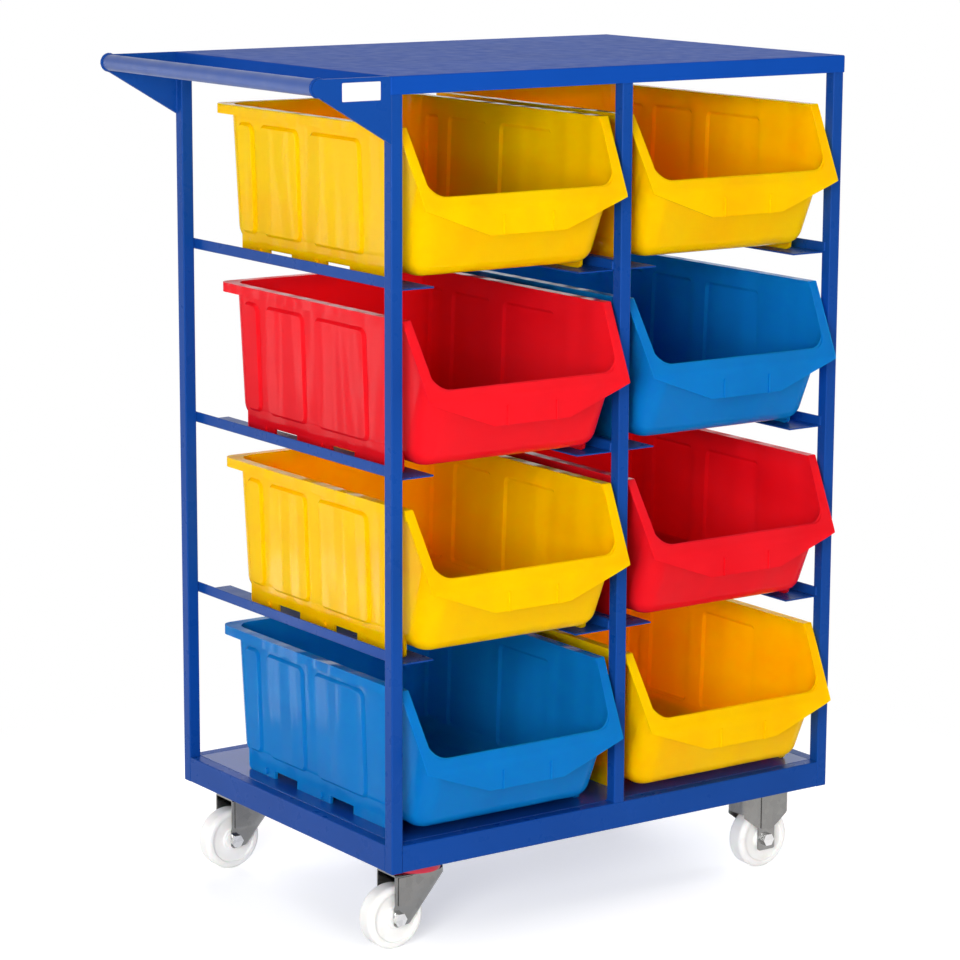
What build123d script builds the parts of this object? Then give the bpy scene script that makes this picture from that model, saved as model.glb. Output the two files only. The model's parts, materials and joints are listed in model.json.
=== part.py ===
"""A mobile bin cart: a tube frame on casters with open-fronted picking bins on runners.

Millimetres, +Z up. The front faces -Y and the push handle is at the -X end. The origin is on the
floor, under the middle of the whole cart.
"""

import os
from math import acos, atan2, cos, hypot, radians, sin, tan

from build123d import *

os.makedirs("parts", exist_ok=True)

# Frame
post_size = 20.0
post_wall = 1.5
tube_bend = 2.0  # outside radius of tube corners
frame_depth = 624.0
caster_height = 140.0

# Base
base_rail_height = 42.0
base_rail_wall = 2.0
deck_sheet = 1.5
channel_width = 124.0
channel_sheet = 3.0
channel_bend = 4.0
stiffener_width = 60.0

# Top
top_sheet = 1.5
top_lip = 27.0
top_bend = 2.5

# Runners
runner_flange = 64.0
runner_upstand = 15.0
runner_sheet = 2.5
runner_bend = 3.5
runner_setback = 13.0

# Handle
handle_reach = 134.0  # frame end to the outside of the bar
handle_tube = 25.0
handle_wall = 2.0
gusset_sheet = 5.0
gusset_height = 98.0
label_width = 65.5
label_height = 27.0
label_sheet = 0.5
label_inset = 18.5
label_drop = 6.5
label_corner = 1.5

# Bins
bin_width = 384.0  # over the rim
bin_length = 592.0  # lip corners to the rear of the rim
bin_height = 235.0  # feet to the rim
bin_wall = 3.0
bin_draft = radians(2.0)
bin_corner = 36.0
bin_floor_radius = 32.0
rim_width = 13.0
rim_depth = 15.0
rim_sheet = 2.5
rim_corner = 20.0
foot_height = 13.0
foot_width = 5.5
foot_front = 96.0  # behind the lip corners
foot_rear = 40.0  # ahead of the rear wall
foot_toe_radius = 8.0
notch_length = 68.0
notch_starts = (120.0, 286.0)  # ahead of the rear wall
lug_radius = 5.0
lug_proud = 3.5
lug_lead = 25.0  # behind each notch
front_foot = 58.0  # foot of the front wall, behind the lip corners
slope_run = 63.0  # how far back the sloped sides lean, from lip corner to rim
lip_corner_height = 118.0
lip_corner_width = 368.0
lip_top_height = 135.0
lip_low_height = 76.0
lip_low_width = 140.0
lip_sheet = 3.0
lip_bend = 26.0
border_top = 15.0  # beside the opening, at the rim and at the lip corners
border_low = 17.0
opening_corner = 22.0
label_rib_width = 3.0
label_rib_proud = 2.5
label_rib_length = 30.0
label_rib_spacing = 90.0
panel_spans = ((42.0, 88.0), (108.0, 221.0), (252.0, 396.0))  # ahead of the rear wall
panel_proud = 4.0
panel_side_angle = 50.0  # how far the panels' sides lean
panel_corner = 14.0
panel_top_gap = 26.0
panel_foot_gap = 34.0

# Room round the bins
side_room = 8.0  # rim to post
deck_room = 44.5  # the bottom bins' rims to the lowest runners
runner_room = 48.0  # the other bins' rims to the runners above
top_room = 77.5  # the top bins' rims to the top surface

# How far each bin's lip corners stand out in front of the frame, top bin first
left_overhangs = (37.0, 49.0, 55.0, 43.0)
right_overhangs = (35.0, 41.0, 49.0, 49.0)

# Casters
caster_inset_x = 87.0  # frame end to the mounting centre
caster_inset_y = 69.0
plate_length = 105.0
plate_width = 85.0
plate_sheet = 4.0
plate_corner = 8.0
hole_spacing_x = 80.0
hole_spacing_y = 60.0
hole_radius = 4.5
swivel_trail = 44.0
wheel_diameter = 100.0
wheel_width = 34.0
wheel_shoulder = 8.0
wheel_recess = 4.0
wheel_band = 11.0
recess_radius = 2.5
hub_diameter = 34.0
hub_width = 40.0
hub_chamfer = 1.0
axle_radius = 6.0
running_clearance = 0.06
fixed_clearance = 0.1
seat_gap = 0.3
leg_sheet = 3.0
fork_front = 46.0  # head centre to the closed nose
fork_back = 8.0  # leg behind the axle
fork_toe = 14.0  # leg below the axle at the back
fork_heel = 8.0  # leg below the axle at the front
fork_chin = 34.0  # leg ahead of the axle
fork_nose = 13.0  # upright part of the nose
fork_nose_drop = 49.5  # how far the closed nose runs down
fork_nose_radius = 22.0
fork_toe_radius = 6.0
fork_chin_radius = 16.0
joggle_lift = 16.0  # step in the fork's legs, above the axle
joggle_height = 6.0
strip_back = 3.0  # raised strip down each leg, behind and ahead of the axle
strip_ahead = 23.0
strip_proud = 1.5
press_radius = 10.0
crown_radius = 4.0
race_radius = 31.0
race_depth = 15.0
seal_radius = 40.0
seal_depth = 8.5
hex_flats = 19.0
kingpin_head = 7.0
axle_head = 7.0
axle_nut = 10.0
bracket_length = 98.0  # the fixed bracket's legs at the top
bracket_leg_width = 34.0  # and at the axle
bracket_foot = 18.0  # leg below the axle
bracket_waist = 20.0  # where the leg starts to widen, above the axle
bracket_hip = 44.0  # where it has widened, above the axle
bracket_foot_radius = 4.0
bracket_waist_radius = 16.0
bracket_hip_radius = 8.0
bracket_strip = 24.0  # width of the raised strip down to the waist
bracket_wall_drop = 42.0  # how far its closed ends run down
mount_bolt_radius = 4.0
mount_head = 5.0
mount_nut = 6.5
mount_flats = 13.0
bolt_end = 1.0  # beyond the nut

overrun = 5.0  # how far cutting bodies run past what they cut

# Places measured from the frame's middle
bay_clear = bin_width + 2 * side_room
frame_width = 3 * post_size + 2 * bay_clear
half_width = frame_width / 2
half_depth = frame_depth / 2
inner_width = frame_width - 2 * post_size
inner_depth = frame_depth - 2 * post_size
post_centre_x = half_width - post_size / 2
post_centre_y = half_depth - post_size / 2
bay_centre = (bay_clear + post_size) / 2
caster_x = half_width - caster_inset_x
caster_y = half_depth - caster_inset_y

# The frame's middle from the origin, and heights from the floor
left_reach = half_width + handle_reach
right_reach = half_width + top_sheet
front_reach = half_depth + max(left_overhangs + right_overhangs) + label_rib_proud
rear_reach = half_depth + top_sheet
frame_x = (left_reach - right_reach) / 2
frame_y = (front_reach - rear_reach) / 2
base_z = caster_height
base_rail_z = base_z + base_rail_height / 2
deck_z = base_z + base_rail_height
first_runner_z = deck_z + bin_height + deck_room
storey_pitch = bin_height + runner_room
level_names = ("top", "upper", "lower", "bottom")
levels = [first_runner_z + storey_pitch * storey for storey in (2, 1, 0)] + [deck_z]
top_z = levels[0] + bin_height + top_room
post_top = top_z - top_sheet
top_rail_z = post_top - post_size / 2


def keep(shape, name):
    """Labels a finished piece and writes it to its own file."""
    shape.label = name
    export_step(shape, f"parts/{name}.step")


def flat(x=0, y=0, z=0):
    """A level plane at a place measured from the frame's middle and the floor."""
    return Plane(origin=(frame_x + x, frame_y + y, z))


def facing_front(x=0, y=0, z=0):
    """An upright plane across the cart: its x is the cart's X and its y is Z."""
    return Plane(origin=(frame_x + x, frame_y + y, z), x_dir=(1, 0, 0), z_dir=(0, -1, 0))


def facing_side(x=0, y=0, z=0):
    """An upright plane along the cart: its x is the cart's Y and its y is Z."""
    return Plane(origin=(frame_x + x, frame_y + y, z), x_dir=(0, 1, 0), z_dir=(1, 0, 0))


def tube_section(width, height, wall):
    """A hollow rectangle with rounded outside corners, for the sketch that calls it."""
    RectangleRounded(width, height, tube_bend)
    Rectangle(width - 2 * wall, height - 2 * wall, mode=Mode.SUBTRACT)


def tangent_point(x, y, radius):
    """Where a line from a point right of a circle about zero touches the circle, on its lower side."""
    turn = atan2(y, x) - acos(radius / hypot(x, y))
    return radius * cos(turn), radius * sin(turn)


# Posts: the corner ones stand the full height, the centre ones between the rails
def make_post(x, y, low, high, name):
    with BuildPart() as post:
        with BuildSketch(flat(x, y, low)):
            tube_section(post_size, post_size, post_wall)
        extrude(amount=high - low)
    keep(post.part, name)


for end, y in (("front", -post_centre_y), ("rear", post_centre_y)):
    make_post(-post_centre_x, y, base_z, post_top, f"post_{end}_left")
    make_post(0, y, base_z + base_rail_height, post_top - post_size, f"post_{end}_centre")
    make_post(post_centre_x, y, base_z, post_top, f"post_{end}_right")


# Rails, butted between the corner posts
def make_rail(plane, length, height, wall, name):
    with BuildPart() as rail:
        with BuildSketch(plane):
            tube_section(post_size, height, wall)
        extrude(amount=length / 2, both=True)
    keep(rail.part, name)


def make_base_rail(plane, length, name):
    make_rail(plane, length, base_rail_height, base_rail_wall, name)


def make_top_rail(plane, length, name):
    make_rail(plane, length, post_size, post_wall, name)


for end, y in (("front", -post_centre_y), ("rear", post_centre_y)):
    make_base_rail(facing_side(y=y, z=base_rail_z), inner_width, f"base_rail_{end}")
    make_top_rail(facing_side(y=y, z=top_rail_z), inner_width, f"top_rail_{end}")
for end, x in (("left", -post_centre_x), ("right", post_centre_x)):
    make_base_rail(facing_front(x=x, z=base_rail_z), inner_depth, f"base_rail_{end}")
    make_top_rail(facing_front(x=x, z=top_rail_z), inner_depth, f"top_rail_{end}")

# Deck, let in between the base rails and flush with them
with BuildPart() as base_deck:
    with BuildSketch(flat(z=deck_z - deck_sheet)):
        Rectangle(inner_width, inner_depth)
    extrude(amount=deck_sheet)
keep(base_deck.part, "base_deck")


# Folded channels under the deck: two carry the caster plates and one stiffens the middle
def make_channel(x, width, name, hole_places=()):
    height = deck_z - deck_sheet - base_z
    with BuildPart() as channel:
        with BuildSketch(facing_front(x=x, z=base_z)) as section:
            with Locations((0, height / 2)):
                Rectangle(width, height)
            fillet(section.vertices().group_by(Axis.Y)[0], channel_bend)
            with Locations((0, height / 2 + channel_sheet)):
                Rectangle(width - 2 * channel_sheet, height, mode=Mode.SUBTRACT)
        extrude(amount=inner_depth / 2, both=True)
        for y in hole_places:
            with BuildSketch(flat(x, y, base_z)):
                with GridLocations(hole_spacing_x, hole_spacing_y, 2, 2):
                    Circle(hole_radius)
            extrude(amount=channel_sheet, mode=Mode.SUBTRACT)
    keep(channel.part, name)


make_channel(-caster_x, channel_width, "base_channel_left", (-caster_y, caster_y))
make_channel(caster_x, channel_width, "base_channel_right", (-caster_y, caster_y))
make_channel(0, stiffener_width, "base_channel_centre")

# Top: one sheet with its four edges folded down outside the posts
with BuildPart() as top_panel:
    with BuildSketch(flat(z=top_z - top_lip)):
        Rectangle(frame_width + 2 * top_sheet, frame_depth + 2 * top_sheet)
    extrude(amount=top_lip)
    fillet(top_panel.edges().filter_by(Axis.Z) + top_panel.edges().group_by(Axis.Z)[-1], top_bend)
    with BuildSketch(flat(z=top_z - top_lip)):
        Rectangle(frame_width, frame_depth)
    extrude(amount=top_lip - top_sheet, mode=Mode.SUBTRACT)
keep(top_panel.part, "top_panel")


# Runners: an angle on each end's posts, and a hat section with two flanges between the centre posts
def make_side_runner(x, inward, level, name):
    height = runner_sheet + runner_upstand
    with BuildPart() as runner:
        with BuildSketch(facing_front(x=x, z=level - runner_sheet)) as section:
            with Locations((inward * runner_flange / 2, height / 2)):
                Rectangle(runner_flange, height)
            fillet(section.vertices().sort_by_distance((0, 0))[0], runner_bend)
            with Locations((inward * (runner_flange / 2 + runner_sheet), height / 2 + runner_sheet)):
                Rectangle(runner_flange, height, mode=Mode.SUBTRACT)
        extrude(amount=half_depth - runner_setback, both=True)
    keep(runner.part, name)


def make_centre_runner(level, name):
    height = runner_sheet + runner_upstand
    with BuildPart() as runner:
        with BuildSketch(facing_front(z=level - runner_sheet)) as section:
            with Locations((0, height / 2)):
                Rectangle(post_size, height)
            fillet(section.vertices().group_by(Axis.Y)[-1], runner_bend)
            with Locations((0, runner_sheet / 2)):
                Rectangle(post_size + 2 * runner_flange, runner_sheet)
            with Locations((0, height / 2 - runner_sheet)):
                Rectangle(post_size - 2 * runner_sheet, height, mode=Mode.SUBTRACT)
        extrude(amount=inner_depth / 2, both=True)
    keep(runner.part, name)


for level_name, level in zip(level_names[:-1], levels):
    make_side_runner(-half_width + post_size, 1, level, f"runner_{level_name}_left")
    make_side_runner(half_width - post_size, -1, level, f"runner_{level_name}_right")
    make_centre_runner(level, f"runner_{level_name}_centre")

# Handle: a plate on each end post and a bar butted between the plates
bar_radius = handle_tube / 2
bar_x = -half_width - handle_reach + bar_radius
bar_z = top_z - bar_radius
with BuildPart() as handle_bar:
    with BuildSketch(facing_front(x=bar_x, z=bar_z)):
        Circle(bar_radius)
        Circle(bar_radius - handle_wall, mode=Mode.SUBTRACT)
    extrude(amount=half_depth - gusset_sheet, both=True)
keep(handle_bar.part, "handle_bar")

post_run = handle_reach - bar_radius  # bar centre to the post's face
post_fall = gusset_height - bar_radius  # bar centre to the plate's foot on the post
bar_touch = tangent_point(post_run, -post_fall, bar_radius)


def make_gusset(y, name):
    """A triangle from the post to the bar, whose lower edge runs on as a tangent round the bar."""
    with BuildPart() as gusset:
        with BuildSketch(facing_front(x=bar_x, y=y, z=bar_z)):
            Circle(bar_radius)
            with BuildLine():
                Polyline(
                    (0, bar_radius),
                    (post_run - top_sheet, bar_radius),
                    (post_run - top_sheet, bar_radius - top_lip),
                    (post_run, bar_radius - top_lip),
                    (post_run, -post_fall),
                    bar_touch,
                    close=True,
                )
            make_face()
        extrude(amount=gusset_sheet / 2, both=True)
    keep(gusset.part, name)


make_gusset(gusset_sheet / 2 - half_depth, "gusset_front")
make_gusset(half_depth - gusset_sheet / 2, "gusset_rear")

# Bare label plate on the front gusset
label_x = -half_width - label_inset - label_width / 2
label_z = top_z - label_drop - label_height / 2
with BuildPart() as label_plate:
    with BuildSketch(facing_front(label_x, -half_depth, label_z)):
        RectangleRounded(label_width, label_height, label_corner)
    extrude(amount=label_sheet)
keep(label_plate.part, "label_plate")

# Bins. One is made about its own origin, with its lip corners at y = 0 and its feet at z = 0.
wall_half = bin_width / 2 - rim_width
wall_rear = bin_length - rim_width
tub_height = bin_height - foot_height
slope_share = slope_run / (bin_height - lip_corner_height)  # how far the slope leans in its rise
lip_top_y = slope_share * (lip_top_height - lip_corner_height)
front_lean_share = (front_foot - lip_top_y) / (lip_top_height - foot_height)
lip_run = lip_sheet * hypot(1, slope_share)  # the sloped plate's thickness measured along Y
opening_top = bin_width / 2 - border_top
opening_low = lip_corner_width / 2 - border_low


def make_tub(inset, floor):
    """A closed block with the tub's shape, its walls moved in by an inset and its floor set."""
    rise = bin_height - floor
    narrowing = rise * tan(bin_draft)
    top_front = front_foot - front_lean_share * tub_height + inset
    with BuildPart() as block:
        with BuildSketch(Plane.YZ):
            with BuildLine():
                Polyline(
                    (top_front, bin_height),
                    (top_front + front_lean_share * rise, floor),
                    (wall_rear - inset - narrowing, floor),
                    (wall_rear - inset, bin_height),
                    close=True,
                )
            make_face()
        extrude(amount=wall_half + overrun, both=True)
        with BuildSketch(Plane.XZ):
            with BuildLine():
                Polyline(
                    (inset - wall_half, bin_height),
                    (inset - wall_half + narrowing, floor),
                    (wall_half - inset - narrowing, floor),
                    (wall_half - inset, bin_height),
                    close=True,
                )
            make_face()
        extrude(amount=bin_length, both=True, mode=Mode.INTERSECT)
        fillet(block.edges().group_by(Axis.Z)[1], bin_corner - inset)
        fillet(block.edges().group_by(Axis.Z)[0], bin_floor_radius - inset)
    return block.part


inner_tub = make_tub(bin_wall, foot_height + bin_wall)


def make_panels(inset):
    """The side walls' bulging panels, for the outside or, inset by the wall, for the hollows inside."""
    wall_face = Plane(
        origin=(wall_half - inset, 0, bin_height),
        x_dir=(0, 1, 0),
        z_dir=(cos(bin_draft), 0, -sin(bin_draft)),
    )
    high = bin_height - panel_top_gap - inset
    low = panel_foot_gap + inset
    with BuildPart() as panels:
        with BuildSketch(wall_face) as outlines:
            for near, far in panel_spans:
                with Locations((wall_rear - (near + far) / 2, (low + high) / 2 - bin_height)):
                    RectangleRounded(far - near - 2 * inset, high - low, panel_corner - inset)
        extrude(amount=panel_proud, taper=panel_side_angle)
        extrude(outlines.sketch, amount=-bin_wall)
        mirror(about=Plane.YZ)
    return panels.part


# Foot rails under the side walls, with notches, and a small lug behind each notch
foot_outside = wall_half - tub_height * tan(bin_draft)
foot_rise = foot_height + bin_floor_radius
with BuildPart() as feet:
    with BuildSketch(Plane.YZ) as foot_outline:
        foot_end = wall_rear - foot_rear
        with Locations(((foot_front + foot_end) / 2, foot_rise / 2)):
            Rectangle(foot_end - foot_front, foot_rise)
        fillet(foot_outline.vertices().group_by(Axis.Y)[0], foot_toe_radius)
        for start in notch_starts:
            with Locations((wall_rear - start - notch_length / 2, 0)):
                Rectangle(notch_length, 2 * foot_height, mode=Mode.SUBTRACT)
    extrude(amount=foot_outside, both=True)
    with BuildSketch(Plane.YZ):
        for start in notch_starts:
            with Locations((wall_rear - start + lug_lead, foot_height - lug_radius)):
                Circle(lug_radius)
    extrude(amount=foot_outside + lug_proud, both=True)
    with BuildSketch(Plane.XZ):
        with Locations((0, foot_rise / 2)):
            Rectangle(2 * (foot_outside - foot_width), foot_rise)
    extrude(amount=bin_length, both=True, mode=Mode.SUBTRACT)

# Rim: a flat border round the top with a turned-down skirt
with BuildPart() as rim:
    with BuildSketch(Plane.XY.offset(bin_height - rim_depth)) as rim_outline:
        with Locations((0, bin_length / 2)):
            Rectangle(bin_width, bin_length)
        fillet(rim_outline.vertices().group_by(Axis.Y)[-1], rim_corner)
    extrude(amount=rim_depth)
    with BuildSketch(Plane.XY.offset(bin_height - rim_depth)) as skirt_outline:
        with Locations((0, bin_length / 2 - rim_sheet)):
            Rectangle(bin_width - 2 * rim_sheet, bin_length)
        fillet(skirt_outline.vertices().group_by(Axis.Y)[-1], rim_corner - rim_sheet)
    extrude(amount=rim_depth - rim_sheet, mode=Mode.SUBTRACT)

# Bent front plate: a hexagon with a rounded opening when seen from the front, and from the side a
# slope that turns down into the lip
with BuildPart() as front_plate:
    with BuildSketch(Plane.XZ):
        with BuildLine():
            Polyline(
                (-bin_width / 2, bin_height),
                (-lip_corner_width / 2, lip_corner_height),
                (-lip_low_width / 2, lip_low_height),
                (lip_low_width / 2, lip_low_height),
                (lip_corner_width / 2, lip_corner_height),
                (bin_width / 2, bin_height),
                close=True,
            )
        make_face()
    extrude(amount=bin_length, both=True)
    with BuildSketch(Plane.XZ) as opening:
        with BuildLine():
            Polyline(
                (-opening_top, bin_height),
                (-opening_low, lip_top_height),
                (opening_low, lip_top_height),
                (opening_top, bin_height),
                close=True,
            )
        make_face()
        fillet(opening.vertices().group_by(Axis.Y)[0], opening_corner)
    extrude(amount=bin_length, both=True, mode=Mode.SUBTRACT)
    with BuildSketch(Plane.YZ):
        with BuildLine() as plate_line:
            Polyline((slope_run, bin_height), (0, lip_corner_height), (0, lip_low_height))
            fillet(plate_line.vertices().sort_by(Axis.Y)[1], lip_bend)
            offset(amount=lip_sheet, side=Side.LEFT)
        make_face()
    extrude(amount=bin_width / 2, both=True, mode=Mode.INTERSECT)
    with BuildSketch(Plane.XZ.offset(label_rib_proud)):
        with Locations((0, lip_low_height + label_rib_length / 2)):
            with GridLocations(label_rib_spacing, 0, 2, 1):
                Rectangle(label_rib_width, label_rib_length)
    extrude(amount=-label_rib_proud - lip_sheet / 2)

with BuildPart() as picking_bin:
    add(make_tub(0, foot_height))
    add(make_panels(0))
    add(feet.part)
    add(rim.part)
    add(inner_tub, mode=Mode.SUBTRACT)
    add(make_panels(bin_wall), mode=Mode.SUBTRACT)
    with BuildSketch(Plane.YZ):
        with BuildLine():
            Polyline(
                (slope_run + lip_run / 2, bin_height),
                (lip_run / 2, lip_corner_height),
                (-bin_length, lip_corner_height),
                (-bin_length, bin_height),
                close=True,
            )
        make_face()
    extrude(amount=bin_width / 2, both=True, mode=Mode.SUBTRACT)
    add(front_plate.part)

columns = (("left", -bay_centre, left_overhangs), ("right", bay_centre, right_overhangs))
for side, bay_x, overhangs in columns:
    for level_name, level, overhang in zip(level_names, levels, overhangs):
        place = Location((frame_x + bay_x, frame_y - half_depth - overhang, level))
        keep(picking_bin.part.moved(place), f"bin_{side}_{level_name}")

# Casters. Each piece is made about the mounting centre, at the height of the base's underside.
wheel_radius = wheel_diameter / 2
axle_z = wheel_radius - caster_height
leg_inside = hub_width / 2 + seat_gap
leg_outside = leg_inside + leg_sheet
upper_outside = leg_outside + leg_sheet  # the fork's legs above their step
race_foot = -plate_sheet - race_depth
crown_top = race_foot - seat_gap
head_top = crown_top - leg_sheet - seat_gap

# Wheel: tread, recessed sides and a wider hub, turned about its axle
with BuildPart() as wheel:
    with BuildSketch(Plane.YZ) as wheel_section:
        with Locations((0, axle_z + wheel_radius / 2)):
            Rectangle(wheel_width, wheel_radius)
        fillet(wheel_section.vertices().group_by(Axis.Y)[-1], wheel_shoulder)
        recess_height = wheel_radius - wheel_band - hub_diameter / 2
        with Locations((0, axle_z + hub_diameter / 2 + recess_height / 2)):
            with GridLocations(wheel_width, 0, 2, 1):
                RectangleRounded(2 * wheel_recess, recess_height, recess_radius, mode=Mode.SUBTRACT)
        with Locations((0, axle_z + hub_diameter / 4)):
            Rectangle(hub_width, hub_diameter / 2)
        with Locations((0, axle_z)):
            Rectangle(hub_width, 2 * (axle_radius + running_clearance), mode=Mode.SUBTRACT)
        chamfer(wheel_section.vertices().group_by(Axis.X)[0].sort_by(Axis.Y)[-1], hub_chamfer)
        chamfer(wheel_section.vertices().group_by(Axis.X)[-1].sort_by(Axis.Y)[-1], hub_chamfer)
    revolve(axis=Axis((0, 0, axle_z), (0, 1, 0)))


def hex_bolt(plane, flats, head, radius, length):
    """A hexagon bolt whose head stands out of a plane and whose shank goes into it."""
    with BuildPart() as bolt:
        with BuildSketch(plane):
            RegularPolygon(flats / 2, 6, major_radius=False)
        extrude(amount=head)
        with BuildSketch(plane):
            Circle(radius)
        extrude(amount=-length)
    return bolt.part


def hex_nut(plane, flats, depth, radius):
    """A hexagon nut that stands out of a plane, with a bore for its bolt."""
    with BuildPart() as nut:
        with BuildSketch(plane):
            RegularPolygon(flats / 2, 6, major_radius=False)
            Circle(radius + fixed_clearance, mode=Mode.SUBTRACT)
        extrude(amount=depth)
    return nut.part


# Axle bolt through both legs, with its nut
front_leg = Plane(origin=(0, -leg_outside, axle_z), x_dir=(1, 0, 0), z_dir=(0, -1, 0))
rear_leg = Plane(origin=(0, leg_outside, axle_z), x_dir=(1, 0, 0), z_dir=(0, 1, 0))
axle_length = 2 * leg_outside + axle_nut + bolt_end
axle = hex_bolt(front_leg, hex_flats, axle_head, axle_radius, axle_length)
axle_parts = [axle, hex_nut(rear_leg, hex_flats, axle_nut, axle_radius)]

# Swivel head: mounting plate with its race, dust seal and kingpin
with BuildPart() as head_plate:
    with BuildSketch(Plane.XY.offset(-plate_sheet)):
        RectangleRounded(plate_length, plate_width, plate_corner)
    extrude(amount=plate_sheet)
    with BuildSketch(Plane.XY.offset(race_foot)):
        Circle(race_radius)
    extrude(amount=race_depth)
    with BuildSketch(Plane.XY):
        Circle(axle_radius + fixed_clearance)
        with GridLocations(hole_spacing_x, hole_spacing_y, 2, 2):
            Circle(hole_radius)
    extrude(amount=race_foot, mode=Mode.SUBTRACT)

with BuildPart() as dust_seal:
    with BuildSketch(Plane.XY.offset(race_foot)):
        Circle(seal_radius)
        Circle(race_radius + fixed_clearance, mode=Mode.SUBTRACT)
    extrude(amount=seal_depth)

head_plane = Plane(origin=(0, 0, head_top), x_dir=(1, 0, 0), z_dir=(0, 0, -1))
kingpin = hex_bolt(head_plane, hex_flats, kingpin_head, axle_radius, -head_top)


def pressed_block(outline, inset, half, bend):
    """A block with a side outline drawn in by an inset, and its ends rounded as a pressing's are."""
    with BuildPart() as block:
        with BuildSketch(Plane.XZ):
            with BuildLine():
                Polyline(*outline, close=True)
            make_face()
            if inset:
                offset(amount=-inset)
        extrude(amount=half - inset, both=True)
        ends = block.edges().filter_by(Axis.X, reverse=True).filter_by(Axis.Y, reverse=True)
        fillet(ends, bend - inset)
    return block.part


def fork_form(inset):
    """The fork's outside, or its inside for an inset of one sheet: wide above a step in its legs."""
    lean_share = (fork_front - chin_x) / (shoulder_z - chin_z)
    low = (chin_x - lean_share * (chin_z + caster_height), -caster_height)
    outline = [(-2 * plate_length, crown_top), (-2 * plate_length, -caster_height), low]
    outline += [(fork_front, shoulder_z), (fork_front, crown_top)]
    narrow = leg_outside - inset
    wide = upper_outside - inset
    step_z = axle_z + joggle_lift
    with BuildPart() as form:
        add(pressed_block(outline, inset, upper_outside, nose_bend))
        fillet(form.edges().group_by(Axis.Z)[-1], crown_radius - inset)
        with BuildSketch(Plane.YZ):
            with BuildLine():
                Polyline(
                    (-wide, 0),
                    (-wide, step_z + joggle_height),
                    (-narrow, step_z),
                    (-narrow, -caster_height),
                    (narrow, -caster_height),
                    (narrow, step_z),
                    (wide, step_z + joggle_height),
                    (wide, 0),
                    close=True,
                )
            make_face()
        extrude(amount=2 * plate_length, both=True, mode=Mode.INTERSECT)
    return form.part


# Fork: one pressing with a crown, two stepped legs and a closed nose, which trails its wheel
chin_x = fork_chin - swivel_trail
chin_z = axle_z - fork_heel
shoulder_z = crown_top - fork_nose
nose_turn = atan2(fork_front - chin_x, shoulder_z - chin_z)
nose_bend = min(fork_nose_radius, (fork_nose - crown_radius - seat_gap) / tan(nose_turn / 2))
with BuildPart() as fork:
    add(fork_form(0))
    with BuildSketch(Plane.XZ) as leg_outline:
        with BuildLine():
            Polyline(
                (-swivel_trail - fork_back, crown_top),
                (-swivel_trail - fork_back, axle_z - fork_toe),
                (chin_x, chin_z),
                (fork_front, shoulder_z),
                (fork_front, crown_top),
                close=True,
            )
        make_face()
        chin, toe = leg_outline.vertices().sort_by(Axis.Y)[1::-1]
        fillet(toe, fork_toe_radius)
        fillet(chin, fork_chin_radius)
    extrude(amount=upper_outside, both=True, mode=Mode.INTERSECT)
    with BuildSketch(Plane.XZ):
        strip_high = crown_top - crown_radius
        strip_low = axle_z + joggle_lift + joggle_height
        with Locations(((strip_ahead - strip_back) / 2 - swivel_trail, (strip_high + strip_low) / 2)):
            Rectangle(strip_ahead + strip_back, strip_high - strip_low)
    extrude(amount=upper_outside + strip_proud, both=True)
    add(fork_form(leg_sheet), mode=Mode.SUBTRACT)
    with BuildSketch(Plane.YZ):
        with Locations((0, (crown_top - fork_nose_drop - caster_height) / 2)):
            Rectangle(2 * leg_inside, caster_height + crown_top - fork_nose_drop)
    extrude(amount=plate_length, both=True, mode=Mode.SUBTRACT)
    with BuildSketch(Plane.XY.offset(crown_top)):
        Circle(axle_radius + running_clearance)
    extrude(amount=-2 * leg_sheet, mode=Mode.SUBTRACT)
    with BuildSketch(Plane.XZ):
        with Locations((-swivel_trail, axle_z)):
            Circle(axle_radius + fixed_clearance)
    extrude(amount=upper_outside, both=True, mode=Mode.SUBTRACT)

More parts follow.
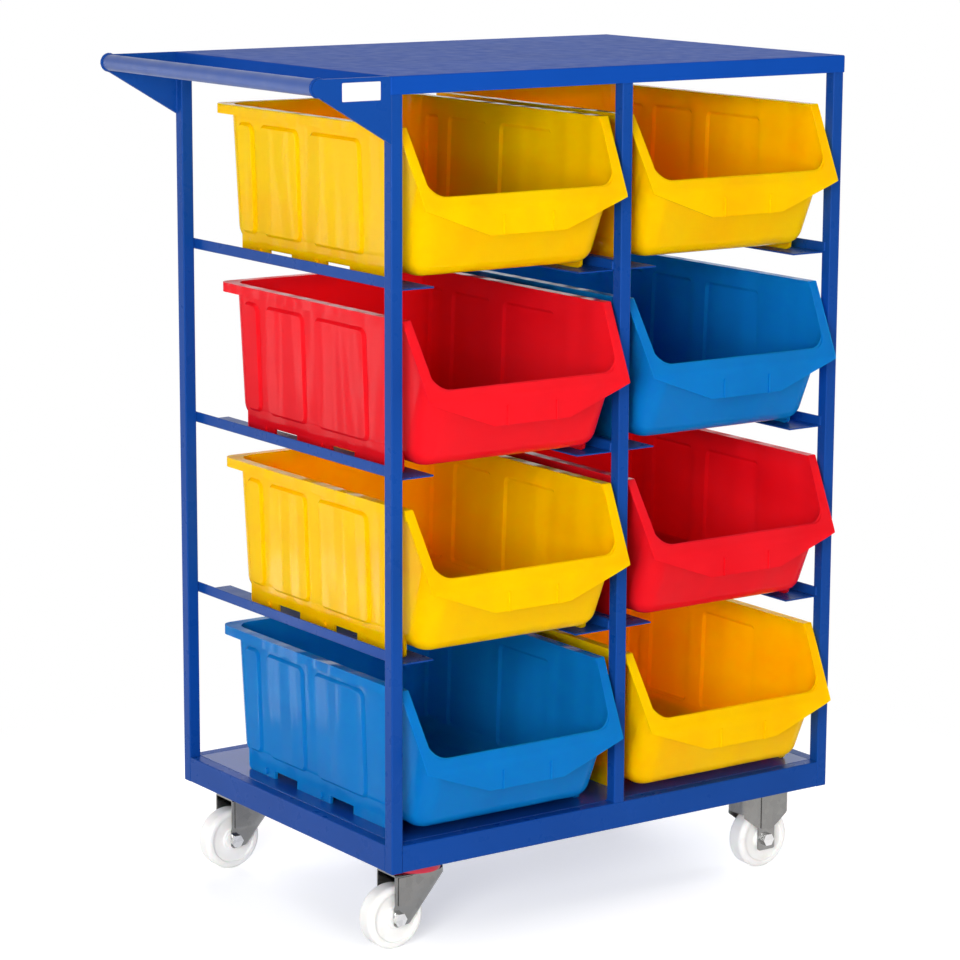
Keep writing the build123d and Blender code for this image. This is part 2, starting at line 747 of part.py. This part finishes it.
# Fixed bracket: mounting plate and two tapered legs, closed at both ends near the plate
bracket_half = bracket_length / 2
bracket_foot_z = axle_z - bracket_foot
bracket_radii = (bracket_foot_radius, bracket_waist_radius, bracket_hip_radius)
bracket_outline = [
    (-bracket_half, -caster_height),
    (-bracket_half, -plate_sheet),
    (bracket_half, -plate_sheet),
    (bracket_half, -caster_height),
]
with BuildPart() as fixed_bracket:
    add(pressed_block(bracket_outline, 0, leg_outside, press_radius))
    with BuildSketch(Plane.XZ) as bracket_side:
        with Locations((0, (bracket_foot_z - plate_sheet) / 2)):
            Rectangle(bracket_leg_width, -plate_sheet - bracket_foot_z)
        with BuildLine():
            Polyline(
                (-bracket_leg_width / 2, axle_z + bracket_waist),
                (-bracket_half, axle_z + bracket_hip),
                (-bracket_half, -plate_sheet),
                (bracket_half, -plate_sheet),
                (bracket_half, axle_z + bracket_hip),
                (bracket_leg_width / 2, axle_z + bracket_waist),
                close=True,
            )
        make_face()
        corner_rows = bracket_side.vertices().group_by(Axis.Y)
        for corners, radius in zip(corner_rows, bracket_radii):
            fillet(corners, radius)
    extrude(amount=leg_outside, both=True, mode=Mode.INTERSECT)
    with BuildSketch(Plane.XZ):
        with Locations((0, (axle_z + bracket_waist - plate_sheet) / 2)):
            Rectangle(bracket_strip, -plate_sheet - axle_z - bracket_waist)
    extrude(amount=leg_outside + strip_proud, both=True)
    add(pressed_block(bracket_outline, leg_sheet, leg_outside, press_radius), mode=Mode.SUBTRACT)
    with BuildSketch(Plane.YZ):
        with Locations((0, -(bracket_wall_drop + caster_height) / 2)):
            Rectangle(2 * leg_inside, caster_height - bracket_wall_drop)
    extrude(amount=plate_length, both=True, mode=Mode.SUBTRACT)
    with BuildSketch(Plane.XY.offset(-plate_sheet - leg_sheet)):
        Rectangle(bracket_length - 2 * press_radius, 2 * leg_outside - 2 * press_radius)
    extrude(amount=leg_sheet, mode=Mode.SUBTRACT)
    with BuildSketch(Plane.XZ):
        with Locations((0, axle_z)):
            Circle(axle_radius + fixed_clearance)
    extrude(amount=leg_outside, both=True, mode=Mode.SUBTRACT)
    with BuildSketch(Plane.XY.offset(-plate_sheet)):
        RectangleRounded(plate_length, plate_width, plate_corner)
        with GridLocations(hole_spacing_x, hole_spacing_y, 2, 2):
            Circle(hole_radius, mode=Mode.SUBTRACT)
    extrude(amount=plate_sheet)

# Bolts that hold each caster to its channel, heads below
under_plate = Plane(origin=(0, 0, -plate_sheet), x_dir=(1, 0, 0), z_dir=(0, 0, -1))
on_channel = Plane(origin=(0, 0, channel_sheet), x_dir=(1, 0, 0), z_dir=(0, 0, 1))
mount_length = plate_sheet + channel_sheet + mount_nut + bolt_end
mount_bolt = hex_bolt(under_plate, mount_flats, mount_head, mount_bolt_radius, mount_length)
mount_parts = [mount_bolt, hex_nut(on_channel, mount_flats, mount_nut, mount_bolt_radius)]

caster_bolts = []
for end, y in (("front", -caster_y), ("rear", caster_y)):
    for side, x, trail in (("left", -caster_x, swivel_trail), ("right", caster_x, 0)):
        name = f"caster_{end}_{side}"
        centre = Location((frame_x + x, frame_y + y, base_z))
        axle_place = Location((frame_x + x - trail, frame_y + y, base_z))
        keep(wheel.part.moved(axle_place), f"{name}_wheel")
        keep(Compound(children=[piece.moved(axle_place) for piece in axle_parts]), f"{name}_axle")
        if side == "left":
            keep(head_plate.part.moved(centre), f"{name}_plate")
            keep(dust_seal.part.moved(centre), f"{name}_seal")
            keep(kingpin.moved(centre), f"{name}_kingpin")
            keep(fork.part.moved(centre), f"{name}_fork")
        else:
            keep(fixed_bracket.part.moved(centre), f"{name}_bracket")
        for hole in GridLocations(hole_spacing_x, hole_spacing_y, 2, 2):
            caster_bolts += [piece.moved(centre * hole) for piece in mount_parts]
keep(Compound(children=caster_bolts), "caster_bolts")
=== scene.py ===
"""Looks of the mobile bin cart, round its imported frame. Metres, +Z up, the bins open towards -Y."""

import json
import math

import bmesh
import bpy
from mathutils import Matrix, Vector, noise


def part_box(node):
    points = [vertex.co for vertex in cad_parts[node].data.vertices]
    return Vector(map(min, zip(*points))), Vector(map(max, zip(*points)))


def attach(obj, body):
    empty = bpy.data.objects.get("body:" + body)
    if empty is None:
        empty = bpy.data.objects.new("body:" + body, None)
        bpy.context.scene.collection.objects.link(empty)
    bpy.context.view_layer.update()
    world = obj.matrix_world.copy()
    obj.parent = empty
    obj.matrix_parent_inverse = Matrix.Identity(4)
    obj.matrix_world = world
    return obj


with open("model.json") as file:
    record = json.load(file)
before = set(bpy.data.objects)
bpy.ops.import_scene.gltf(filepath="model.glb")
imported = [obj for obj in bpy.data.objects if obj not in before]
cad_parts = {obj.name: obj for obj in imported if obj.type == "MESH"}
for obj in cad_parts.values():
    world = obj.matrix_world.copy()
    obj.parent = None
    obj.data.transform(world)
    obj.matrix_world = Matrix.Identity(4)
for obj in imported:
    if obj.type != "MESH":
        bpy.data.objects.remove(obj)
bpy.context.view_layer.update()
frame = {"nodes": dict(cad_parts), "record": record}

scene = bpy.context.scene
nodes = frame["nodes"]
ends = ("front", "rear")
sides = ("left", "right")

# Camera, fitted to the photograph's perspective: its place, then its heading from +Y towards +X, its tilt
# down and its roll in degrees, then its focal length in pixels of the photograph
camera_place = Vector((-3.0068, -4.2827, 1.6942))
camera_yaw = 35.02
camera_pitch = 11.164
camera_roll = 0.245
focal_pixels = 3315.8
photo_pixels = 960
sensor_mm = 36.0
view_depth = 200.0

# Soft lamps beside the camera, straight in front, above, and behind, where one shines through the bins.
# Each has its place, its width and height, and its watts.
lamp_target = Vector((0.0, 0.0, 0.7))
soft_lamps = {
    "key": ((-4.0, -3.5, 1.7), (2.0, 2.0), 224.0),
    "front": ((-0.4, -4.4, 1.2), (2.4, 1.8), 35.0),
    "above": ((-0.6, -1.6, 3.4), (2.4, 2.4), 25.0),
    "back": ((2.2, 3.2, 1.5), (2.6, 2.6), 176.0),
}

# Narrow upright lamps behind on the left and out on the right, which the glossy surfaces mirror
strip_lamps = {
    "strip_wide": ((-1.2, 1.42, 0.78), (0.12, 1.5), 1.9),
    "strip_narrow": ((-1.3, 1.17, 0.78), (0.04, 1.5), 0.9),
    "strip_low": ((-0.8, 0.8, 0.18), (0.08, 0.32), 0.45),
    "strip_side": ((3.0, -0.4, 0.8), (0.4, 1.6), 18.0),
}
sky_strength = 0.3

# Floor: it holds the shadow up to the near distance from the middle, and is plain white from the far one
floor_reach = 120.0
floor_colour = (0.82, 0.82, 0.82)
floor_glow = 0.46
floor_near = 0.55
floor_far = 1.25

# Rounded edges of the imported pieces
sheet_edge = 0.0005
tube_edge = 0.0006
moulded_edge = 0.0009
pressed_edge = 0.0006
bolt_edge = 0.0008
label_edge = 0.0002
edge_segments = 2
sharp_angle = math.radians(34)
flat_angle = math.radians(0.3)
merge_distance = 0.000002

# Weld beads: rings of points every step, which swell by shares of the radius
bead_radius = 0.0024
bead_sides = 8
bead_step = 0.0007
fewest_steps = 2
bead_ripple = 0.0021  # from one drop of weld to the next
ripple_share = 0.16
uneven_share = 0.12
uneven_scale = 400.0
upright_share = 0.9  # of a heading's length along Z, from which it counts as upright
circle_steps = 64
gusset_weld_drop = 0.028  # below the gusset's top, clear of the top panel's lip
flange_weld_rise = 0.0025  # above the underside of a hat section, clear of its flanges

# Plugs in the posts' feet
post_wall = 0.0015
plug_depth = 0.006
plug_border = 0.003
plug_recess = 0.002
plug_edge = 0.0006

# The range in which most of a noise texture's values lie
noise_low = 0.3
noise_high = 0.7


# Materials

def empty_tree(owner):
    """The node tree of a new material or world, with nothing in it."""
    owner.use_nodes = True
    owner.node_tree.nodes.clear()
    return owner.node_tree


def new_node(tree, kind, **values):
    """Adds a node and sets its own sockets; an underscore stands for a space in a socket's name."""
    node = tree.nodes.new(kind)
    for socket, value in values.items():
        node.inputs[socket.replace("_", " ")].default_value = value
    return node


class Shader:
    """A node material with a Principled surface, and short ways to feed it."""

    def __init__(self, name, **values):
        """The values are what is the same all over the surface."""
        self.material = bpy.data.materials.new(name)
        self.tree = empty_tree(self.material)
        output = self.add("ShaderNodeOutputMaterial")
        self.surface = self.add("ShaderNodeBsdfPrincipled", **values)
        self.link(self.surface, "BSDF", output, "Surface")
        self.coords = self.add("ShaderNodeTexCoord")

    def add(self, kind, **values):
        return new_node(self.tree, kind, **values)

    def link(self, source, output, target, socket):
        self.tree.links.new(source.outputs[output], target.inputs[socket])

    def noise(self, scale, detail, stretch=(1, 1, 1), rough=0.5):
        """Noise in the object's own metres, so that it stays put as the piece moves."""
        mapping = self.add("ShaderNodeMapping", Scale=stretch)
        texture = self.add("ShaderNodeTexNoise", Scale=scale, Detail=detail, Roughness=rough)
        self.link(self.coords, "Object", mapping, "Vector")
        self.link(mapping, "Vector", texture, "Vector")
        return texture

    def cells(self, scale):
        """A patchwork of cells, each with a colour of its own."""
        texture = self.add("ShaderNodeTexVoronoi", Scale=scale)
        self.link(self.coords, "Object", texture, "Vector")
        return texture

    def tint(self, texture, stops, output="Fac"):
        """Colours the surface by a ramp over the texture, with (place, colour) stops."""
        ramp = self.add("ShaderNodeValToRGB")
        elements = ramp.color_ramp.elements
        for place, colour in stops[1:-1]:
            elements.new(place)
        for element, (place, colour) in zip(elements, stops):
            element.position = place
            element.color = (*colour, 1)
        self.link(texture, output, ramp, "Fac")
        self.link(ramp, "Color", self.surface, "Base Color")

    def roughen(self, texture, low, high):
        """Spreads the surface's roughness from low to high over the texture's middle range."""
        span = {"From_Min": noise_low, "From_Max": noise_high, "To_Min": low, "To_Max": high}
        spread = self.add("ShaderNodeMapRange", **span)
        self.link(texture, "Fac", spread, "Value")
        self.link(spread, "Result", self.surface, "Roughness")

    def bump(self, texture, distance, strength, under=None):
        """Raises the surface by the texture, on top of the bump under it."""
        bump = self.add("ShaderNodeBump", Distance=distance, Strength=strength)
        self.link(texture, "Fac", bump, "Height")
        if under:
            self.link(under, "Normal", bump, "Normal")
        self.link(bump, "Normal", self.surface, "Normal")
        return bump


def shade(colour, amount):
    """A colour made lighter or darker by a share."""
    return tuple(min(1.0, max(0.0, channel * (1 + amount))) for channel in colour)


def paint(name, colour, roughness, gloss):
    """Stoved paint: a fine orange peel and faint clouding."""
    shader = Shader(name, Specular_IOR_Level=gloss)
    clouding = 0.06
    stops = [(noise_low, shade(colour, -clouding)), (noise_high, shade(colour, clouding))]
    shader.tint(shader.noise(scale=5.0, detail=4.0), stops)
    shader.roughen(shader.noise(scale=38.0, detail=5.0), low=roughness - 0.05, high=roughness + 0.06)
    shader.bump(shader.noise(scale=420.0, detail=2.0), distance=0.00003, strength=0.4)
    return shader.material


def moulding(name, colour, deep, reach):
    """Moulded polypropylene: glossy, slightly see-through, gently wavy, with darker flow marks and scuffs.

    The reach is how far red, green and blue light spread under the surface, in shares of the scale.
    """
    shader = Shader(
        name,
        IOR=1.49,
        Specular_IOR_Level=0.04,
        Subsurface_Weight=0.85,
        Subsurface_Scale=0.012,
        Subsurface_Radius=reach,
    )
    flow = shader.noise(scale=7.0, detail=3.0, stretch=(1, 0.35, 1))
    pale = shade(colour, 0.05)
    shader.tint(flow, [(0.25, deep), (0.5, colour), (0.8, pale)])
    shader.roughen(shader.noise(scale=26.0, detail=6.0, stretch=(1, 0.2, 1)), low=0.1, high=0.16)
    waves = shader.noise(scale=13.0, detail=1.0, stretch=(1, 1, 0.12))
    wavy = shader.bump(waves, distance=0.014, strength=0.6)
    grain = shader.noise(scale=1500.0, detail=2.0)
    grainy = shader.bump(grain, distance=0.00002, strength=0.5, under=wavy)
    scuffs = shader.noise(scale=60.0, detail=8.0, stretch=(1, 0.15, 1), rough=0.7)
    shader.bump(scuffs, distance=0.00012, strength=0.2, under=grainy)
    return shader.material


def plating(name, dark, light, roughness):
    """Zinc plating: small crystals of slightly different brightness under fine rubbing marks."""
    shader = Shader(name, Metallic=1.0)
    shader.tint(shader.cells(scale=90.0), [(0.0, dark), (1.0, light)], output="Color")
    shader.roughen(shader.noise(scale=90.0, detail=3.0), low=roughness - 0.04, high=roughness + 0.06)
    marks = shader.noise(scale=300.0, detail=2.0, stretch=(1, 1, 0.2))
    shader.bump(marks, distance=0.00002, strength=0.3)
    return shader.material


def nylon(name, colour, dirt):
    """Cast nylon: slightly see-through white, with a little floor dirt in small patches."""
    shader = Shader(name, IOR=1.53, Subsurface_Weight=0.12, Subsurface_Scale=0.004, Specular_IOR_Level=0.45)
    shader.tint(shader.noise(scale=30.0, detail=6.0), [(0.25, dirt), (0.42, colour)])
    shader.roughen(shader.noise(scale=70.0, detail=4.0), low=0.34, high=0.5)
    shader.bump(shader.noise(scale=350.0, detail=3.0), distance=0.00005, strength=0.4)
    return shader.material


def plain_moulding(name, colour, roughness):
    """Small plain mouldings and cards: a fine grain and a little clouding."""
    shader = Shader(name)
    clouding = 0.05
    stops = [(noise_low, shade(colour, -clouding)), (noise_high, colour)]
    shader.tint(shader.noise(scale=60.0, detail=3.0), stops)
    shader.roughen(shader.noise(scale=140.0, detail=3.0), low=roughness - 0.05, high=roughness + 0.05)
    shader.bump(shader.noise(scale=900.0, detail=2.0), distance=0.00003, strength=0.5)
    return shader.material


materials = {
    "frame_paint": paint("frame_paint", (0.004, 0.052, 0.27), roughness=0.3, gloss=0.08),
    # The top panel's duller paint is lighter and bluer than the frame's: a painted sheen in place of the
    # sky it would mirror at a grazing angle
    "top_paint_painted_sheen": paint("top_paint_painted_sheen", (0.0046, 0.059, 0.34), roughness=0.42, gloss=0.02),
    "bar_paint": paint("bar_paint", (0.004, 0.052, 0.27), roughness=0.36, gloss=0.65),
    "deck_paint": paint("deck_paint", (0.0055, 0.054, 0.28), roughness=0.14, gloss=0.45),
    "bin_yellow": moulding("bin_yellow", (1.0, 0.5, 0.0), (1.0, 0.43, 0.0), (0.7, 0.45, 0.15)),
    "bin_red": moulding("bin_red", (0.74, 0.0076, 0.0155), (0.67, 0.004, 0.0105), (0.6, 0.2, 0.2)),
    "bin_blue": moulding("bin_blue", (0.0025, 0.166, 0.485), (0.0018, 0.145, 0.44), (0.2, 0.4, 0.5)),
    "zinc": plating("zinc", (0.21, 0.21, 0.205), (0.25, 0.25, 0.243), roughness=0.2),
    "bolt_steel": plating("bolt_steel", (0.58, 0.58, 0.58), (0.72, 0.72, 0.72), roughness=0.16),
    "wheel_nylon": nylon("wheel_nylon", (0.84, 0.83, 0.81), (0.74, 0.72, 0.68)),
    "seal_red": plain_moulding("seal_red", (0.58, 0.010, 0.045), roughness=0.4),
    "label_white": plain_moulding("label_white", (0.72, 0.7, 0.71), roughness=0.5),
    "plug_black": plain_moulding("plug_black", (0.02, 0.02, 0.022), roughness=0.5),
}


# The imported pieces: each gets its material, softened edges and smooth shading

edge_widths = {
    "frame_paint": tube_edge,
    "deck_paint": sheet_edge,
    "bin_yellow": moulded_edge,
    "bin_red": moulded_edge,
    "bin_blue": moulded_edge,
    "zinc": pressed_edge,
    "bolt_steel": bolt_edge,
    "wheel_nylon": pressed_edge,
    "seal_red": pressed_edge,
    "label_white": label_edge,
}

# Slots of pieces whose flat faces come in many facets, which are merged before the edges are rounded
merged_slots = ("bin_yellow", "bin_red", "bin_blue", "zinc", "wheel_nylon")

# Pieces whose paint is duller or glossier than their slot's; the top panel's is also lighter and bluer, a
# painted sheen of the sky seen at a grazing angle
special_looks = {"top_panel": "top_paint_painted_sheen", "handle_bar": "bar_paint"}


def shade_smoothly(mesh):
    mesh.polygons.foreach_set("use_smooth", [True] * len(mesh.polygons))


def soften(piece, width, merged):
    """Rounds the sharp edges and shades the rest smoothly; where asked, merges the facets of flat faces."""
    shade_smoothly(piece.data)
    weld = piece.modifiers.new("weld", "WELD")
    weld.merge_threshold = merge_distance
    if merged:
        flats = piece.modifiers.new("flats", "DECIMATE")
        flats.decimate_type = "DISSOLVE"
        flats.angle_limit = flat_angle
    edges = piece.modifiers.new("edges", "BEVEL")
    edges.limit_method = "ANGLE"
    edges.angle_limit = sharp_angle
    edges.width = width
    edges.segments = edge_segments
    normals = piece.modifiers.new("normals", "WEIGHTED_NORMAL")
    normals.mode = "FACE_AREA"
    normals.keep_sharp = False


def dress(node, slot):
    """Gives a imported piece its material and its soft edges."""
    piece = nodes[node]
    look = special_looks.get(node, slot)
    for material_slot in piece.material_slots:
        material_slot.link = "OBJECT"
        material_slot.material = materials[look]
    soften(piece, edge_widths[slot], slot in merged_slots)


for subpart in frame["record"]["subparts"]:
    dress(subpart["node"], subpart["material_slot"])


# Added pieces

def new_piece(name, shape, material, body):
    """Turns a bmesh into a smoothly shaded piece that rides on a body."""
    bmesh.ops.recalc_face_normals(shape, faces=shape.faces)
    mesh = bpy.data.meshes.new(name)
    shape.to_mesh(mesh)
    shape.free()
    shade_smoothly(mesh)
    mesh.materials.append(materials[material])
    piece = bpy.data.objects.new(name, mesh)
    scene.collection.objects.link(piece)
    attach(piece, body)


def bead_places(points, closed):
    """Places and headings every bead step along a run of straight lines."""
    corners = points + points[:1] if closed else points
    for start, end in zip(corners, corners[1:]):
        run = end - start
        steps = max(fewest_steps, round(run.length / bead_step))
        for step in range(steps):
            yield start + run * (step / steps), run.normalized()
    if not closed:
        yield corners[-1], (corners[-1] - corners[-2]).normalized()


def bead_ring(place, heading, swell):
    """Points round a place, across the heading; the swell multiplies the bead's radius."""
    if abs(heading.z) < upright_share:
        side = heading.cross(Vector((0, 0, 1))).normalized()
    else:
        side = heading.orthogonal().normalized()
    up = heading.cross(side)
    for step in range(bead_sides):
        turn = 2 * math.pi * step / bead_sides
        yield place + (side * math.cos(turn) + up * math.sin(turn)) * bead_radius * swell


def add_bead(shape, points, closed):
    """A weld bead: a thin tube whose radius swells and narrows as the drops of weld do."""
    rings = []
    travelled = 0.0
    previous = points[0]
    for place, heading in bead_places(points, closed):
        travelled += (place - previous).length
        previous = place
        swell = 1 + ripple_share * math.sin(2 * math.pi * travelled / bead_ripple)
        swell += uneven_share * noise.noise(place * uneven_scale)
        rings.append([shape.verts.new(point) for point in bead_ring(place, heading, swell)])
    following_rings = rings[1:] + rings[:1] if closed else rings[1:]
    for ring, following in zip(rings, following_rings):
        for step in range(bead_sides):
            nearby = (step + 1) % bead_sides
            shape.faces.new((ring[step], ring[nearby], following[nearby], following[step]))
    if not closed:
        shape.faces.new(rings[0][::-1])
        shape.faces.new(rings[-1])


def add_welds(name, runs, loops=()):
    """All the weld beads of one kind of joint, as one piece."""
    shape = bmesh.new()
    for run in runs:
        add_bead(shape, [Vector(point) for point in run], closed=False)
    for loop in loops:
        add_bead(shape, loop, closed=True)
    new_piece(name, shape, "frame_paint", "frame")


def circle(centre, radius):
    """Points round a circle that faces along Y."""
    turns = [2 * math.pi * step / circle_steps for step in range(circle_steps)]
    return [centre + Vector((radius * math.cos(turn), 0, radius * math.sin(turn))) for turn in turns]


def weld_handle():
    """Welds each gusset to its post and the bar's ends to the gussets."""
    bar_low, bar_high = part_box("handle_bar")
    bar_centre = (bar_low + bar_high) / 2
    bar_radius = (bar_high.x - bar_low.x) / 2
    runs = []
    loops = []
    for end in ends:
        low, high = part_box(f"gusset_{end}")
        inner_y = high.y if end == "front" else low.y
        runs.append([(high.x, inner_y, low.z + bead_radius), (high.x, inner_y, high.z - gusset_weld_drop)])
        loops.append(circle(Vector((bar_centre.x, inner_y, bar_centre.z)), bar_radius))
    add_welds("welds_handle", runs, loops)


def weld_runners():
    """Welds the angles' ends to the corner posts, and the hat sections' to the centre posts."""
    runs = []
    for level in ("top", "upper", "lower"):
        for side in sides:
            low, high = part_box(f"runner_{level}_{side}")
            outer_x = low.x if side == "left" else high.x
            for end_y in (low.y, high.y):
                runs.append([(outer_x, end_y, low.z + bead_radius), (outer_x, end_y, high.z)])
        low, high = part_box(f"runner_{level}_centre")
        weld_low = low.z + flange_weld_rise
        weld_high = high.z - bead_radius
        for end, end_y in zip(ends, (low.y, high.y)):
            post_low, post_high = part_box(f"post_{end}_centre")
            for side_x in (post_low.x, post_high.x):
                runs.append([(side_x, end_y, weld_low), (side_x, end_y, weld_high)])
    add_welds("welds_runners", runs)


def weld_frame():
    """Welds the rails to the posts, in the inner corners of the top and the base."""
    runs = []
    for end in ends:
        for side in sides:
            low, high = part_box(f"post_{end}_{side}")
            inner_x = high.x if side == "left" else low.x
            inner_y = high.y if end == "front" else low.y
            for rail in ("base_rail", "top_rail"):
                rail_low, rail_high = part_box(f"{rail}_{end}")
                weld_low = rail_low.z + bead_radius
                weld_high = rail_high.z - bead_radius
                runs.append([(inner_x, inner_y, weld_low), (inner_x, inner_y, weld_high)])
        low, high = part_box(f"post_{end}_centre")
        inner_y = high.y if end == "front" else low.y
        for seam_z in (low.z, high.z):
            runs.append([(low.x, inner_y, seam_z), (high.x, inner_y, seam_z)])
    add_welds("welds_frame", runs)


def add_plug(end, side):
    """A plug in the open foot of a corner post, with a recess in its underside."""
    low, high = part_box(f"post_{end}_{side}")
    centre = (low + high) / 2
    shape = bmesh.new()
    bmesh.ops.create_cube(shape, size=1.0)
    inside = Vector((high.x - low.x - 2 * post_wall, high.y - low.y - 2 * post_wall, plug_depth))
    bmesh.ops.scale(shape, vec=inside, verts=shape.verts)
    bmesh.ops.translate(shape, vec=(centre.x, centre.y, low.z + plug_depth / 2), verts=shape.verts)
    under = min(shape.faces, key=lambda face: face.calc_center_median().z)
    bmesh.ops.inset_region(shape, faces=[under], thickness=plug_border, depth=0)
    bmesh.ops.translate(shape, vec=(0, 0, plug_recess), verts=under.verts)
    bmesh.ops.bevel(shape, geom=list(shape.edges), offset=plug_edge, segments=edge_segments, affect="EDGES")
    new_piece(f"plug_{end}_{side}", shape, "plug_black", "frame")


weld_handle()
weld_runners()
weld_frame()
for end in ends:
    for side in sides:
        add_plug(end, side)


# Floor, sky, lamps and camera

def mix(tree, share, first, second):
    """The first shader where the share is 0, and the second where it is 1."""
    mixed = new_node(tree, "ShaderNodeMixShader")
    tree.links.new(share, mixed.inputs["Fac"])
    tree.links.new(first.outputs[0], mixed.inputs[1])
    tree.links.new(second.outputs[0], mixed.inputs[2])
    return mixed


def lit_or_seen(tree, lit, seen):
    """One shader for the rays that light a surface, another for what the camera, a mirror or glass sees."""
    path = new_node(tree, "ShaderNodeLightPath")
    for ray in ("Is Camera Ray", "Is Glossy Ray", "Is Transmission Ray"):
        lit = mix(tree, path.outputs[ray], lit, seen)
    return lit


def backdrop(tree, strength):
    return new_node(tree, "ShaderNodeBackground", Color=(1, 1, 1, 1), Strength=strength)


def make_world():
    """A white backdrop that lights the cart like a dimmer sky."""
    world = bpy.data.worlds.new("studio")
    scene.world = world
    tree = empty_tree(world)
    output = new_node(tree, "ShaderNodeOutputWorld")
    final = lit_or_seen(tree, backdrop(tree, sky_strength), backdrop(tree, 1.0))
    tree.links.new(final.outputs[0], output.inputs["Surface"])


def floor_material():
    """Pale and a little lifted by a glow of its own near the cart, plain white further out."""
    material = bpy.data.materials.new("floor")
    tree = empty_tree(material)
    output = new_node(tree, "ShaderNodeOutputMaterial")
    ground = new_node(tree, "ShaderNodeBsdfDiffuse", Color=(*floor_colour, 1))
    glow = new_node(tree, "ShaderNodeEmission", Strength=floor_glow)
    near = new_node(tree, "ShaderNodeAddShader")
    tree.links.new(ground.outputs[0], near.inputs[0])
    tree.links.new(glow.outputs[0], near.inputs[1])
    far = new_node(tree, "ShaderNodeEmission", Strength=1.0)
    coords = new_node(tree, "ShaderNodeTexCoord")
    distance = new_node(tree, "ShaderNodeVectorMath")
    distance.operation = "LENGTH"
    tree.links.new(coords.outputs["Object"], distance.inputs[0])
    spread = new_node(tree, "ShaderNodeMapRange", From_Min=floor_near, From_Max=floor_far)
    spread.interpolation_type = "SMOOTHSTEP"
    tree.links.new(distance.outputs["Value"], spread.inputs["Value"])
    shown = mix(tree, spread.outputs["Result"], near, far)
    final = lit_or_seen(tree, ground, shown)
    tree.links.new(final.outputs[0], output.inputs["Surface"])
    return material


def make_floor():
    """A wide pale floor that holds the cart's shadow."""
    shape = bmesh.new()
    bmesh.ops.create_grid(shape, x_segments=1, y_segments=1, size=floor_reach)
    mesh = bpy.data.meshes.new("floor")
    shape.to_mesh(mesh)
    shape.free()
    mesh.materials.append(floor_material())
    floor = bpy.data.objects.new("floor", mesh)
    scene.collection.objects.link(floor)


def add_lamp(name, place, size, watts, mirrored, upright):
    """An area lamp that faces the cart. Mirrored, it shows in glossy surfaces; upright, it isn't tilted."""
    lamp = bpy.data.lights.new(name, "AREA")
    lamp.shape = "RECTANGLE"
    lamp.size, lamp.size_y = size
    lamp.energy = watts
    holder = bpy.data.objects.new(name, lamp)
    scene.collection.objects.link(holder)
    holder.location = place
    aim = lamp_target - Vector(place)
    if upright:
        aim.z = 0.0
    holder.rotation_euler = aim.to_track_quat("-Z", "Y").to_euler()
    holder.visible_camera = False
    holder.visible_glossy = mirrored


def make_camera():
    """The photograph's camera, turned by its heading, tilt and roll."""
    data = bpy.data.cameras.new("camera")
    data.sensor_width = sensor_mm
    data.lens = focal_pixels / photo_pixels * sensor_mm
    data.clip_end = view_depth
    camera = bpy.data.objects.new("camera", data)
    scene.collection.objects.link(camera)
    yaw, pitch, roll = (math.radians(turn) for turn in (camera_yaw, camera_pitch, camera_roll))
    ahead = Vector((math.sin(yaw) * math.cos(pitch), math.cos(yaw) * math.cos(pitch), -math.sin(pitch)))
    level = Vector((math.cos(yaw), -math.sin(yaw), 0))
    right = level * math.cos(roll) + level.cross(ahead) * math.sin(roll)
    up = right.cross(ahead)
    turn = Matrix((right, up, -ahead)).transposed()
    camera.matrix_world = Matrix.Translation(camera_place) @ turn.to_4x4()
    scene.camera = camera


make_world()
make_floor()
for name, (place, size, watts) in soft_lamps.items():
    add_lamp(name, place, size, watts, mirrored=name == "key", upright=False)
for name, (place, size, watts) in strip_lamps.items():
    add_lamp(name, place, size, watts, mirrored=True, upright=True)
make_camera()
scene.view_settings.view_transform = "Standard"
